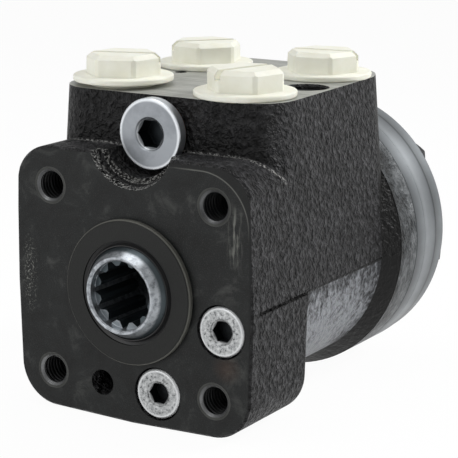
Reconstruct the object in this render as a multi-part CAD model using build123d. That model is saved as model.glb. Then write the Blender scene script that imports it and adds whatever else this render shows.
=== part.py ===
from build123d import *
from math import atan2, cos, degrees, hypot, pi, radians, sin, sqrt, tan
import os

# Orbital steering unit, millimetres. +Y runs back along the shaft from the column face,
# +Z points to the port face, +X to the right seen from the steering column.

# general fits
running_clearance = 0.03     # radial play of the turning valve parts
seat_clearance = 0.02        # play between pieces that are assembled and stay still
end_play = 0.1               # axial play of the valve set

# housing casting
half_flange = 41.25          # column flange: its top and bottom, and the sides near its corners
flange_corner = 13.0
flange_depth = 34.5
flange_back_round = 2.5
flange_edge = 0.7            # broken edge round the column face
flange_bottom_lean = 1.05    # how much the bottom leans up towards its two ends
flange_side_lean = 0.1       # the sides' foot lies this far inside the bottom's height
parting_bulge = 1.05         # the casting is this much wider, each side, at the witness line
side_taper_low = 0.012       # how much each side leans in towards the rear, per millimetre
block_top = 57.1             # milled port face above the shaft axis
block_top_half_width = 40.5  # half width of the side walls at that height, carried forward to the face
side_taper_top = 0.047
block_front_low = 12.8       # front wall of the port block, at the witness line and at the top
block_front_top = 15.3
block_rear_lean = 0.6        # how far the rear wall leans in by the top
block_front_corner = 13.0
block_rear_corner = 21.0
housing_length = 102.0
barrel_radius = 40.9
rim_radius = 45.06
rim_width = 11.5             # cylindrical part of the rear rim
rim_cone_width = 6.0
parting_depth = 0.4          # witness line of the mould halves
parting_width = 0.9
parting_drop = 1.8           # how far the witness line lies under the shaft axis
parting_end_gap = 18.0       # from the rear end of the witness line to the rear face

# column side
pilot_radius = 22.2
pilot_height = 2.3
column_bolt_circle = 82.55
column_thread_radius = 5.0   # M10
column_thread_depth = 18.0
thread_countersink = 0.65
plain_hole_x = -10.7
plain_hole_z = -30.05
plain_hole_radius = 4.0
plain_hole_depth = 24.0

# seals and bearing at the front
dust_seal_radius = 16.0
dust_seal_depth = 2.4        # behind the column face
dust_lip_tip = 2.3           # in front of the column face
dust_lip_length = 1.1
dust_lip_edge = 0.25
dust_heel = 0.6
dust_valley = 0.9
dust_heel_relief = 0.35
dust_relief_start = 0.2
lip_gap = 0.05
seal_land_gap = 0.6
shaft_seal_start = 5.2
shaft_seal_width = 3.6
shaft_seal_radius = 18.2
seal_energiser = 0.95        # section radius of the ring behind the shaft seal
bearing_start = 12.0
race_thickness = 1.0
needle_radius = 1.0
needle_length = 2.9
needle_count = 20
race_inner_gap = 0.4

# rotary valve
spool_radius = 14.2
spool_bore = 11.0
spool_nose = 6.3             # how far the nose stands in front of the column face
nose_rim_radius = 11.7
nose_cone_length = 4.4
spline_teeth = 12
spline_pitch_radius = 9.525
spline_module = 1.5875
spline_mouth = 2.8           # plain counterbore in front of the teeth
spline_length = 20.0
sleeve_radius = 19.0
groove_depth = 2.4
groove_width = 4.5
commutation_count = 12
timing_hole_radius = 1.6
commutation_y = 85.5         # row of holes that feeds the gear set
long_pocket_y = 66.0         # metering pockets along the spool
long_pocket_length = 22.0
short_pocket_y = 90.0
short_pocket_length = 8.0
pocket_width = 3.0
pocket_size = 1.8
spool_groove_y = 46.5
spool_groove_width = 5.0
spool_groove_depth = 0.8
timing_rows = 6
pin_position = 33.0
pin_radius = 4.0
valve_stop_angle = 10.0      # travel of the spool in the sleeve, each way
spring_window_length = 8.4
leaf_width = 8.0
leaf_thickness = 0.7
leaf_count = 3               # flat leaves between the two curved ones
leaf_bow = 1.6
ring_width = 9.6
ring_thickness = 0.7

# gear set
lobe_count = 7
lobe_circle = 31.5
lobe_radius = 6.8
eccentricity = 3.2
rotor_clearance = 0.05
valley_points = 40
plate_thickness = 6.0
gear_width = 9.0
cover_thickness = 6.5
cover_chamfer = 0.9
cover_step = 0.36            # the cover is turned a little smaller than the gear ring
housing_joint = (0.25, 0.25) # edges of the stacked plates: width, depth
plate_joint = (0.08, 0.08)
cover_joint = (0.3, 0.9)
plate_bore = 13.5
spacer_thickness = 2.2
spacer_radius = 6.8
cardan_radius = 7.9
cardan_waist = 6.4
fork_play = 0.35
spline_play = 0.35
commutation_circle = 25.2
commutation_radius = 2.5
seal_groove_inset = 3.36     # in from the rim; the screws are inside, and their washers seal them
seal_section = 0.65

# cover screws
screw_inset = 9.71           # in from the rim
screw_radius = 4.0
screw_hole_gap = 0.2
screw_head_width = 13.0
screw_turn = 30.0
screw_head_height = 5.3
screw_grip = 12.0            # thread length in the housing
washer_radius = 6.7
washer_thickness = 1.0
pin_tip_radius = 2.4
pin_tip_length = 3.5

# ports
port_x = 22.0
port_first_y = 29.0
port_second_gap = 25.0       # from the second pair to the rear face
port_thread_radius = 10.48   # G1/2
port_depth = 16.0
gallery_radius = 4.2
gallery_x = 16.5
sensing_x = 29.3
sensing_y = 53.2
sensing_radius = 6.58        # G1/4
sensing_drill_low = 4.0
sensing_cross = 1.6
sensing_depth = 13.0
sensing_drill = 2.2
vent_x = -21.0
vent_y = 60.0
vent_radius = 2.0
vent_depth = 9.0

# port plugs
plug_flange_radius = 15.6
plug_flange_thickness = 1.9
plug_stem_gap = 0.18
plug_stem_length = 9.0
plug_head_width = 21.0
plug_head_height = 6.6
plug_corner_radius = 11.7
plug_head_chamfer = 1.4
plug_slot_width = 2.2
plug_slot_depth = 3.0
loose_plug_lift = 1.3        # the front left plug is only screwed part of the way in

# relief valve
relief_z = 46.0
relief_spotface = 12.4
relief_spotface_y = 14.4
scoop_radius = 15.0
scoop_depth = 5.0
relief_thread_radius = 8.33  # G3/8
relief_thread_length = 11.0
relief_collar_radius = 10.85
relief_collar = 3.2
relief_washer = 0.8
relief_hex = 8.0
relief_hex_depth = 6.0
relief_mouth = 0.3           # round chamfer at the mouth of the hexagon
relief_chamber_radius = 6.6
relief_spring_radius = 4.1
relief_wire = 0.8
relief_preload = 4.0
relief_spring_recess = 4.8
relief_cone_front = 4.0      # radii of the poppet's cone
relief_cone_back = 1.2
relief_seat_bore = 2.2
relief_spring_length = 15.0
relief_turns = 5
relief_skirt = 6.0
relief_cone = 4.0
relief_seat_length = 7.0

# shock valves, two alike
shock_places = {"lower": (9.4, -30.4), "right": (31.65, -7.8)}
shock_head_radius = 7.65
shock_recess_radius = 8.25
shock_head = 4.0
shock_thread_radius = 6.9
shock_thread_length = 8.0
shock_hex = 6.0
shock_hex_depth = 4.6
shock_chamber_radius = 4.4
shock_spring_radius = 3.0
shock_wire = 0.6
shock_spring_recess = 3.0
shock_ball_sink = 0.6        # how far the ball sits inside the spring's end
shock_spring_length = 12.0
shock_turns = 5
shock_ball_radius = 3.9
shock_seat_radius = 5.4
shock_seat_length = 5.0
shock_bore_radius = 2.4

# non-return valve and suction valves, in the rear face of the housing
check_angle = 141.43
check_ball_radius = 4.25
check_chamber = 4.5
check_seat_radius = 2.6
check_seat_depth = 16.0      # below the rear face
check_bush_radius = 5.1
check_bush_length = 6.4
check_bush_bore = 2.6
check_bush_sink = 0.5        # under the rear face
check_bush_hex = 6.0
check_bush_hex_start = 3.0
suction_angles = (-64.29, -115.71)
suction_ball_radius = 3.0
suction_chamber = 3.25
suction_seat_radius = 1.9
suction_cross = 5.0          # from the seat to the drilling into the bore
suction_seat_depth = 12.0
suction_pin_radius = 2.4
suction_pin_length = 4.6
suction_pin_sink = 0.1       # under the rear face

# places that follow from the sizes above
rim_start = housing_length - rim_width
parting_end = housing_length - parting_end_gap
parting_half_width = half_flange + parting_bulge
flange_bottom_side = half_flange - flange_bottom_lean
port_second_y = housing_length - port_second_gap
check_seat_y = housing_length - check_seat_depth
suction_seat_y = housing_length - suction_seat_depth
screw_circle = rim_radius - screw_inset
seal_groove_radius = rim_radius - seal_groove_inset
plate_y = housing_length
ring_y = plate_y + plate_thickness
cover_y = ring_y + gear_width
rear_y = cover_y + cover_thickness
bore_radius = sleeve_radius + running_clearance
sleeve_start = bearing_start + 2 * race_thickness + 2 * needle_radius + 3 * end_play / 2
sleeve_end = housing_length - end_play
spline_start = spline_mouth - spool_nose
spline_end = spline_start + spline_length
spring_start = spline_end + 1.6
spring_end = spring_start + spring_window_length
spring_window_width = (leaf_count + 2) * leaf_thickness + 2 * leaf_bow + 0.2
lobe_angles = [90 + 360 * k / lobe_count for k in range(lobe_count)]
pocket_angles = [a + 180 / lobe_count for a in lobe_angles]
rotor_teeth = lobe_count - 1
valley_radius = lobe_circle - lobe_radius + 2 * eccentricity + 2 * rotor_clearance
rotor_x = 0.0
rotor_z = -eccentricity
rotor_middle = ring_y + gear_width / 2
cardan_tilt = degrees(atan2(eccentricity, rotor_middle - pin_position))
washer_back = rear_y + washer_thickness
valve_circle = commutation_circle + 0.3


# basic shapes
def rod(radius, y0, y1, x=0.0, z=0.0):
    """cylinder along Y"""
    return Pos(x, (y0 + y1) / 2, z) * Rot(90, 0, 0) * Cylinder(radius, y1 - y0)


def tube(outer, inner, y0, y1, x=0.0, z=0.0):
    return rod(outer, y0, y1, x, z) - rod(inner, y0 - 1, y1 + 1, x, z)


def turned(points, x=0.0, z=0.0):
    """body of revolution about the Y direction from (y, radius) points"""
    outline = Polyline(*[(r, y) for y, r in points], close=True)
    return Pos(x, 0, z) * revolve(make_face(outline), Axis.Y)


def prism(sketch, y0, y1, x=0.0, z=0.0):
    """a sketch drawn in X and Z, carried from y0 to y1"""
    return Pos(x, 0, z) * extrude(Plane.XZ.offset(-y0) * sketch, amount=y0 - y1)


def polar(radius, angle):
    return radius * cos(radians(angle)), radius * sin(radians(angle))


def radial_hole(radius, r0, r1, y, angle):
    """cylinder at right angles to the shaft"""
    hole = Pos((r0 + r1) / 2, y, 0) * Rot(0, 90, 0) * Cylinder(radius, r1 - r0)
    return Rot(0, -angle, 0) * hole


def hexagon(width):
    return RegularPolygon(width / 2, 6, major_radius=False)


def without(body, cuts):
    for cut in cuts:
        body = body - cut
    return body


def spring(y0, y1, radius, wire, turns, x, z):
    """open coil spring whose outermost points lie at y0 and y1"""
    pitch = (y1 - y0 - 2 * wire) / turns
    path = Helix(pitch=pitch, height=pitch * turns, radius=radius)
    section = Plane(origin=path @ 0, z_dir=path % 0) * Circle(wire)
    coil = sweep(section, path=path)
    return Pos(x, y0 + wire, z) * Rot(-90, 0, 0) * coil


def valve_place(angle):
    return polar(valve_circle, angle)


# involute-like splines with straight flanks at 30 degrees
def spline_outline(tip, root, thickness_at_pitch, pitch_radius):
    """closed outline with teeth that reach from the root radius to the tip radius"""
    lean = tan(radians(30))
    sign = 1 if tip > root else -1
    half_tip = thickness_at_pitch / 2 - sign * (tip - pitch_radius) * lean
    half_root = thickness_at_pitch / 2 - sign * (root - pitch_radius) * lean
    points = []
    for tooth in range(spline_teeth):
        middle = 360 * tooth / spline_teeth
        for radius, half in ((root, -half_root), (tip, -half_tip), (tip, half_tip), (root, half_root)):
            points.append(polar(radius, middle + degrees(half / radius)))
    return make_face(Polyline(*points, close=True))


def internal_spline(y0, y1, play, x=0.0, z=0.0):
    """the space inside an internally toothed bore"""
    minor = spline_pitch_radius - spline_module / 2
    major = spline_pitch_radius + spline_module * 2 / 3 + play / 2
    tooth = pi * spline_pitch_radius / spline_teeth
    return prism(spline_outline(major, minor, tooth, spline_pitch_radius), y0, y1, x, z)


# housing
def wall_plan(front, rear, half_width, taper, z, front_corner):
    """plan of the side walls at one height; the walls lean in towards the rear"""
    wide = half_width - taper * front
    narrow = half_width - taper * rear
    outline = Polyline((-wide, front), (wide, front), (narrow, rear), (-narrow, rear), close=True)
    plan = make_face(outline)
    if front_corner:
        plan = fillet(plan.vertices().group_by(Axis.Y)[0], front_corner)
    plan = fillet(plan.vertices().group_by(Axis.Y)[-1], block_rear_corner)
    return Pos(0, 0, z) * plan


def drafted_walls(front_low, front_top, front_corner):
    """upper mould half over the witness line, drawn in by the casting draft"""
    rear = housing_length
    low = wall_plan(front_low, rear, parting_half_width, side_taper_low, -parting_drop, front_corner)
    rear = housing_length - block_rear_lean
    top = wall_plan(front_top, rear, block_top_half_width, side_taper_top, block_top, front_corner)
    return loft([low, top], ruled=True)


def flange_plate():
    """column flange, widest at the witness line and leaning in below it"""
    side = half_flange - flange_side_lean
    right = [
        (parting_half_width, half_flange), (parting_half_width, -parting_drop),
        (side, -flange_bottom_side), (0, -half_flange),
    ]
    left = [(-x, z) for x, z in right[2::-1]]
    outline = make_face(Polyline(*right, *left, close=True))
    inside = half_flange - flange_corner
    corners = [v for v in outline.vertices() if abs(v.X) > inside and abs(v.Y) > inside]
    plate = prism(fillet(corners, flange_corner), 0, flange_depth)
    ends = plate.faces().sort_by(Axis.Y)
    plate = fillet(ends[-1].edges(), flange_back_round)
    return chamfer(plate.faces().sort_by(Axis.Y)[0].edges(), flange_edge)


def housing_body():
    flange = flange_plate()
    below = Pos(0, housing_length / 2, -half_flange - parting_drop)
    lower = flange & (below * Box(4 * half_flange, 2 * housing_length, 2 * half_flange))
    flange_walls = drafted_walls(-flange_depth, -flange_depth, 0)
    block_walls = drafted_walls(block_front_low, block_front_top, block_front_corner)
    upper = flange_walls & (flange + block_walls)
    cone_start = rim_start - rim_cone_width
    joint_width, joint_depth = housing_joint
    barrel = turned([
        (flange_depth / 2, 0), (flange_depth / 2, barrel_radius), (cone_start, barrel_radius),
        (rim_start, rim_radius), (housing_length - joint_width, rim_radius),
        (housing_length, rim_radius - joint_depth), (housing_length, 0),
    ])
    pilot = turned([
        (-pilot_height, 0), (-pilot_height, pilot_radius - 0.6), (-pilot_height + 0.6, pilot_radius),
        (1, pilot_radius), (1, 0),
    ])
    return upper + lower + barrel + pilot


def front_bore():
    land = spool_radius + seal_land_gap
    return turned([
        (-spool_nose, 0), (-spool_nose, dust_seal_radius), (dust_seal_depth, dust_seal_radius),
        (dust_seal_depth, land), (shaft_seal_start, land), (shaft_seal_start, shaft_seal_radius),
        (shaft_seal_start + shaft_seal_width, shaft_seal_radius),
        (shaft_seal_start + shaft_seal_width, land), (bearing_start, land),
        (bearing_start, bore_radius), (housing_length + 1, bore_radius), (housing_length + 1, 0),
    ])


def valve_grooves():
    step = (port_second_y - port_first_y) / 4
    places = [port_first_y + step * k for k in range(5)]
    return [
        tube(bore_radius + groove_depth, bore_radius - 1, y - groove_width / 2, y + groove_width / 2)
        for y in places
    ]


def blind_hole(radius, depth, y, x, z):
    """hole from a face at y, towards +Y, with a drill point"""
    return turned([(y - 1, 0), (y - 1, radius), (y + depth, radius), (y + depth + radius / 2, 0)], x, z)


def column_holes():
    step = column_bolt_circle / 2 / sqrt(2)
    return [
        blind_hole(column_thread_radius, column_thread_depth, 0, sx * step, sz * step)
        for sx in (-1, 1) for sz in (-1, 1)
    ]


def upright_hole(radius, low, high, x, y):
    return Pos(x, y, (low + high) / 2) * Cylinder(radius, high - low)


def port_holes():
    above = block_top + 1
    cuts = []
    for sx in (-1, 1):
        for y in (port_first_y, port_second_y):
            floor = block_top - port_depth
            cuts.append(upright_hole(port_thread_radius, floor, above, sx * port_x, y))
            cuts.append(upright_hole(gallery_radius, bore_radius / 3, floor + 1, sx * gallery_x, y))
    mouth = Pos(sensing_x, sensing_y, block_top - thread_countersink / 2)
    cuts.append(mouth * Cone(sensing_radius, sensing_radius + thread_countersink, thread_countersink))
    floor = block_top - sensing_depth
    cuts.append(upright_hole(sensing_radius, floor, above, sensing_x, sensing_y))
    cuts.append(upright_hole(sensing_drill, sensing_drill_low, floor + 1, sensing_x, sensing_y))
    cross_start = bore_radius - 2
    cross = Pos((sensing_x + cross_start) / 2, sensing_y, sensing_drill_low + 2 * sensing_cross)
    cuts.append(cross * Rot(0, 90, 0) * Cylinder(sensing_cross, sensing_x - cross_start))
    cuts.append(upright_hole(vent_radius, block_top - vent_depth, above, vent_x, vent_y))
    return cuts


def relief_stations():
    """front and back of each piece along the relief valve's bore"""
    thread_end = relief_spotface_y + relief_thread_length
    poppet = thread_end + relief_spring_length - relief_preload
    cone = poppet + relief_skirt
    seat = cone + 1.0
    return thread_end, poppet, cone, seat, seat + relief_seat_length


def relief_cuts():
    thread_end, poppet, cone, seat, end = relief_stations()
    scoop = turned([
        (-1, 0), (-1, scoop_radius + 0.4), (scoop_depth, relief_spotface + 1.2),
        (scoop_depth, relief_spotface), (relief_spotface_y, relief_spotface), (relief_spotface_y, 0),
    ], 0, relief_z)
    bore = turned([
        (relief_spotface_y - 1, 0), (relief_spotface_y - 1, relief_thread_radius),
        (thread_end + 1, relief_thread_radius), (thread_end + 1, relief_chamber_radius),
        (end, relief_chamber_radius), (end, 0),
    ], 0, relief_z)
    feed = Pos(0, end + 1, (relief_z + bore_radius) / 2) * Cylinder(2.5, relief_z - bore_radius + 4)
    nose = rod(2.5, end - 1, end + 3.5, 0, relief_z)
    back = Pos(0, poppet - 3, (relief_z + bore_radius) / 2) * Cylinder(2.0, relief_z - bore_radius + 4)
    return [scoop, bore, feed, nose, back]


def shock_stations():
    thread_end = shock_head + shock_thread_length
    ball = thread_end + shock_spring_length - shock_spring_recess + shock_ball_radius - shock_ball_sink
    seat = ball + sqrt(shock_ball_radius ** 2 - shock_bore_radius ** 2) + seat_clearance
    return thread_end, ball, seat, seat + shock_seat_length


def shock_cuts(x, z):
    thread_end, ball, seat, end = shock_stations()
    bore = turned([
        (-1, 0), (-1, shock_recess_radius), (shock_head, shock_recess_radius),
        (shock_head, shock_thread_radius + seat_clearance),
        (thread_end + 1, shock_thread_radius + seat_clearance),
        (thread_end + 1, shock_seat_radius + seat_clearance), (end, shock_seat_radius + seat_clearance),
        (end, shock_bore_radius), (end + 4, shock_bore_radius), (end + 4, 0),
    ], x, z)
    angle = degrees(atan2(z, x))
    reach = hypot(x, z)
    return [
        bore,
        radial_hole(1.8, bore_radius - 2, reach, end + 2, angle),
        radial_hole(1.8, bore_radius - 2, reach, thread_end + 4, angle),
    ]


def ball_seat_y(seat_y, ball_radius, seat_radius):
    """where a ball's centre lies when it rests on a hole's edge, seen along Y"""
    return seat_y + sqrt(ball_radius ** 2 - seat_radius ** 2) + seat_clearance


def rear_valve_cuts():
    x, z = valve_place(check_angle)
    bush_start = housing_length - check_bush_length - check_bush_sink
    cuts = [turned([
        (check_seat_y, 0), (check_seat_y, check_chamber), (bush_start, check_chamber),
        (bush_start, check_bush_radius + seat_clearance),
        (housing_length + 1, check_bush_radius + seat_clearance), (housing_length + 1, 0),
    ], x, z), rod(check_seat_radius, port_second_y, check_seat_y + 1, x, z)]
    for angle in suction_angles:
        x, z = valve_place(angle)
        cuts.append(rod(suction_chamber, suction_seat_y, housing_length + 1, x, z))
        cross_y = suction_seat_y - suction_cross
        cuts.append(rod(suction_seat_radius, cross_y - 1, suction_seat_y + 1, x, z))
        cuts.append(radial_hole(suction_seat_radius, bore_radius - 2, valve_circle, cross_y, angle))
    return cuts


def rear_cuts():
    cuts = []
    for k, angle in enumerate(lobe_angles):
        x, z = polar(screw_circle, angle)
        depth = screw_grip + 1 + (pin_tip_length if k == 1 else 0)
        cuts.append(rod(screw_radius + seat_clearance, housing_length - depth, housing_length + 1, x, z))
    for angle in pocket_angles:
        x, z = polar(commutation_circle, angle)
        cuts.append(rod(commutation_radius, commutation_y - 2.5, housing_length + 1, x, z))
        feed_radius = commutation_radius - 0.5
        cuts.append(radial_hole(feed_radius, bore_radius - 2, commutation_circle, commutation_y, angle))
    cuts.append(seal_groove(housing_length, -1))
    return cuts


def seal_groove(y, way):
    """face groove for an O-ring; way is -1 when it is cut towards the front"""
    depth = 2 * seal_section
    y0, y1 = (y - depth, y + 1) if way < 0 else (y - 1, y + depth)
    width = seal_section + 0.1
    return tube(seal_groove_radius + width, seal_groove_radius - width, y0, y1)


def parting_lines():
    """shallow witness line of the mould halves along both sides"""
    middle = parting_end / 2 + 2
    reach = parting_half_width - side_taper_low * middle - parting_depth
    lean = degrees(atan2(side_taper_low, 1))
    cuts = []
    for side in (-1, 1):
        place = Pos(side * (reach + 2), middle, -parting_drop) * Rot(0, 0, side * lean)
        cuts.append(place * Box(4, parting_end - 4, parting_width))
    return cuts


def housing():
    body = housing_body()
    cuts = [front_bore()] + valve_grooves() + column_holes() + port_holes() + relief_cuts()
    for x, z in shock_places.values():
        cuts += shock_cuts(x, z)
    cuts += rear_valve_cuts() + rear_cuts() + parting_lines()
    cuts.append(rod(plain_hole_radius, -1, plain_hole_depth, plain_hole_x, plain_hole_z))
    return without(body, cuts)


# seals and bearing
def dust_seal():
    lip = spool_radius + lip_gap
    body = dust_seal_radius - seat_clearance
    back = dust_seal_depth - seat_clearance
    valley = dust_lip_tip - dust_lip_length
    heel = dust_lip_tip - dust_heel
    relieved = lip + dust_heel_relief
    return turned([
        (-heel, body), (-valley, body - dust_valley), (-heel, lip + 2 * dust_lip_edge),
        (-dust_lip_tip, lip + dust_lip_edge), (-dust_lip_tip, lip),
        (-valley, lip), (dust_relief_start, relieved), (back, relieved), (back, body),
    ])


def shaft_seal():
    start = shaft_seal_start + 0.15
    end = shaft_seal_start + shaft_seal_width - 0.15
    inner = spool_radius + 0.05
    outer = shaft_seal_radius - 2 * seal_energiser - 0.1
    middle = (start + end) / 2
    return turned([
        (start, inner + 0.25), (start + 0.5, inner), (middle - 0.4, inner), (middle, inner + 0.3),
        (middle + 0.4, inner), (end - 0.5, inner), (end, inner + 0.25), (end, outer), (start, outer),
    ])


def o_ring(centre_radius, section, y):
    ring = Pos(centre_radius, y, 0) * Circle(section)
    return revolve(ring, Axis.Y)


def bearing_pieces():
    inner = spool_radius + race_inner_gap
    outer = sleeve_radius - 0.25
    outer_race = tube(outer, inner, bearing_start, bearing_start + race_thickness)
    needle_y = bearing_start + race_thickness + end_play / 2 + needle_radius
    inner_start = needle_y + needle_radius + end_play / 2
    inner_race = tube(outer, inner, inner_start, inner_start + race_thickness)
    middle = (inner + outer) / 2
    pockets = []
    needles = []
    for k in range(needle_count):
        angle = 360 * k / needle_count
        shape = Pos(middle, needle_y, 0) * Rot(0, 90, 0) * Cylinder(needle_radius, needle_length)
        needles.append(Rot(0, angle, 0) * shape)
        pocket = Pos(middle, needle_y, 0) * Box(needle_length + 0.1, 4, 2 * needle_radius + 0.1)
        pockets.append(Rot(0, angle, 0) * pocket)
    cage = tube(outer - 0.1, inner + 0.1, needle_y - 0.5, needle_y + 0.5) - pockets
    return outer_race, cage, Compound(children=needles), inner_race


# rotary valve
def spool():
    shaft = turned([
        (-spool_nose, 0), (-spool_nose, nose_rim_radius), (nose_cone_length - spool_nose, spool_radius),
        (sleeve_end, spool_radius), (sleeve_end, 0),
    ])
    major = spline_pitch_radius + spline_module * 2 / 3
    mouth = turned([
        (-spool_nose - 1, 0), (-spool_nose - 1, major + 1.5), (-spool_nose, major + 0.5),
        (0.5 - spool_nose, major), (spline_start, major), (spline_start, 0),
    ])
    cavity = rod(spool_bore, spline_end, sleeve_end + 1)
    half_slot = pin_radius + spool_radius * tan(radians(valve_stop_angle)) + 0.25
    pin_slot = Pos(0, pin_position, 0) * Box(2 * spool_radius + 2, 2 * pin_radius + 0.6, 2 * half_slot)
    middle = (spring_start + spring_end) / 2
    window = Pos(0, middle, 0) * Box(spring_window_width, spring_window_length, 2 * spool_radius + 2)
    cuts = [mouth, internal_spline(spline_start - 0.5, spline_end + 0.5, 0), cavity, pin_slot, window]
    for k in range(timing_rows):
        pocket = Pos(spool_radius, long_pocket_y, 0) * Box(pocket_size, long_pocket_length, pocket_width)
        cuts.append(Rot(0, 360 * k / timing_rows, 0) * pocket)
        short = Pos(spool_radius, short_pocket_y, 0) * Box(pocket_size, short_pocket_length, pocket_width)
        cuts.append(Rot(0, 360 * (k + 0.5) / timing_rows, 0) * short)
    half_groove = spool_groove_width / 2
    cuts.append(tube(spool_radius + 1, spool_radius - spool_groove_depth,
                     spool_groove_y - half_groove, spool_groove_y + half_groove))
    return shaft - cuts


def sleeve():
    body = tube(sleeve_radius, spool_radius + running_clearance, sleeve_start, sleeve_end)
    reach = sleeve_radius + 1
    pin_hole = radial_hole(pin_radius + seat_clearance, -reach, reach, pin_position, 0)
    middle = (spring_start + spring_end) / 2
    window = Pos(0, middle, 0) * Box(spring_window_width, spring_window_length, 2 * sleeve_radius + 2)
    ring_seat = tube(sleeve_radius + 1, sleeve_radius - ring_thickness - 0.1,
                     middle - ring_width / 2 - 0.1, middle + ring_width / 2 + 0.1)
    cuts = [pin_hole, window, ring_seat]
    step = (port_second_y - port_first_y) / 4
    for row, turn in ((1, 0.0), (3, 0.5)):
        for k in range(timing_rows):
            angle = 360 * (k + turn) / timing_rows
            y = port_first_y + row * step
            cuts.append(radial_hole(timing_hole_radius, spool_radius - 1, sleeve_radius + 1, y, angle))
    for k in range(commutation_count):
        angle = 360 * (k + 0.5) / commutation_count
        hole = radial_hole(timing_hole_radius, spool_radius - 1, sleeve_radius + 1, commutation_y, angle)
        cuts.append(hole)
    return body - cuts


def spring_ring():
    middle = (spring_start + spring_end) / 2
    return tube(sleeve_radius - 0.05, sleeve_radius - ring_thickness - 0.05,
                middle - ring_width / 2, middle + ring_width / 2)


def cross_pin():
    reach = sleeve_radius - 0.4
    pin = Pos(0, pin_position, 0) * Rot(0, 90, 0) * Cylinder(pin_radius, 2 * reach)
    return chamfer(pin.edges(), 0.5)


def leaf_reach():
    return sleeve_radius - ring_thickness - 0.3


def flat_springs():
    reach = leaf_reach()
    middle = (spring_start + spring_end) / 2
    first = -(leaf_count - 1) / 2
    return Compound(children=[
        Pos((first + k) * leaf_thickness, middle, 0) * Box(leaf_thickness, leaf_width, 2 * reach)
        for k in range(leaf_count)
    ])


def curved_springs():
    """a leaf on each side of the flat ones, bowed so that its middle stands off"""
    reach = leaf_reach()
    middle = (spring_start + spring_end) / 2
    inner = leaf_count * leaf_thickness / 2
    leaves = []
    for side in (-1, 1):
        face = side * inner
        arc = ThreePointArc((face, -reach), (face + side * leaf_bow, 0), (face, reach))
        far = face + side * leaf_thickness
        back = ThreePointArc((far, reach), (far + side * leaf_bow, 0), (far, -reach))
        ends = [Line(arc @ 1, back @ 0), Line(back @ 1, arc @ 0)]
        outline = make_face([arc, ends[0], back, ends[1]])
        leaves.append(prism(outline, middle - leaf_width / 2, middle + leaf_width / 2))
    return Compound(children=leaves)


# cardan shaft, gear set and cover
def cardan_shaft():
    front = spring_end + 0.6
    rear = cover_y - spacer_thickness - 0.45
    spline_front = ring_y - 0.8
    tip = spline_pitch_radius + spline_module / 3
    root = spline_pitch_radius - spline_module * 0.8
    body = turned([
        (front, 0), (front, cardan_radius - 0.8), (front + 0.8, cardan_radius),
        (pin_position + 9, cardan_radius), (pin_position + 14, cardan_waist),
        (ring_y - 16, cardan_waist), (ring_y - 10, cardan_radius - 0.6), (spline_front, root),
        (rear, root), (rear, 0),
    ])
    tooth = pi * spline_pitch_radius / spline_teeth - 2 * spline_play
    teeth = prism(spline_outline(tip, root - 0.3, tooth, spline_pitch_radius), spline_front, rear)
    crown = turned([
        (spline_front - 1, 0), (spline_front - 1, tip - 0.9), (rotor_middle - 1.5, tip),
        (rotor_middle + 1.5, tip), (rear + 1, tip - 0.9), (rear + 1, 0),
    ])
    shaft = body + (teeth & crown)
    width = 2 * (pin_radius + fork_play)
    slot_start = front - 1
    slot_length = pin_position - slot_start
    slot = Pos(0, slot_start + slot_length / 2, 0) * Box(4 * cardan_radius, slot_length, width)
    slot_end = Pos(0, pin_position, 0) * Rot(0, 90, 0) * Cylinder(width / 2, 4 * cardan_radius)
    shaft = shaft - slot - slot_end
    pivot = Pos(0, pin_position, 0) * Rot(-cardan_tilt, 0, 0) * Pos(0, -pin_position, 0)
    return pivot * shaft


def lobe_envelope(t):
    """point of the rotor's outline: one lobe radius inside the path of the lobe's centre"""
    x = lobe_circle * cos(t) - eccentricity * cos(lobe_count * t)
    z = lobe_circle * sin(t) - eccentricity * sin(lobe_count * t)
    dx = -lobe_circle * sin(t) + eccentricity * lobe_count * sin(lobe_count * t)
    dz = lobe_circle * cos(t) - eccentricity * lobe_count * cos(lobe_count * t)
    inset = (lobe_radius + rotor_clearance) / hypot(dx, dz)
    return x - dz * inset, z + dx * inset


def rotor_outline():
    """one tooth valley from tip to tip, copied round the rotor"""
    half_pitch = pi / rotor_teeth
    points = []
    for k in range(valley_points + 1):
        share = 2 * k / valley_points - 1
        points.append(lobe_envelope(half_pitch * (0.3 * share + 0.7 * share ** 3)))
    valley = Spline(*points)
    edges = []
    for k in range(rotor_teeth):
        edges.append(valley.rotate(Axis.Z, 360 * k / rotor_teeth))
    return make_face(edges)


def rotor():
    body = prism(rotor_outline(), ring_y + seat_clearance, cover_y - seat_clearance, rotor_x, rotor_z)
    return body - internal_spline(ring_y - 1, cover_y + 1, 0.4, rotor_x, rotor_z)


def rotor_spacer():
    back = cover_y - 2 * seat_clearance
    return rod(spacer_radius, back - spacer_thickness, back, rotor_x, rotor_z)


def screw_holes(y0, y1):
    holes = []
    for angle in lobe_angles:
        x, z = polar(screw_circle, angle)
        holes.append(rod(screw_radius + screw_hole_gap, y0, y1, x, z))
    return holes


def stack_disc(y0, y1, radius, front_edge, rear_edge):
    """round plate; each edge is taken off by its (width, depth)"""
    front_width, front_depth = front_edge
    rear_width, rear_depth = rear_edge
    return turned([
        (y0, 0), (y0, radius - front_depth), (y0 + front_width, radius),
        (y1 - rear_width, radius), (y1, radius - rear_depth), (y1, 0),
    ])


def distributor_plate():
    cuts = screw_holes(plate_y - 1, ring_y + 1) + [rod(plate_bore, plate_y - 1, ring_y + 1)]
    for angle in pocket_angles:
        x, z = polar(commutation_circle, angle)
        cuts.append(rod(commutation_radius, plate_y - 1, ring_y + 1, x, z))
    return stack_disc(plate_y, ring_y, rim_radius, housing_joint, plate_joint) - cuts


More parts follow.
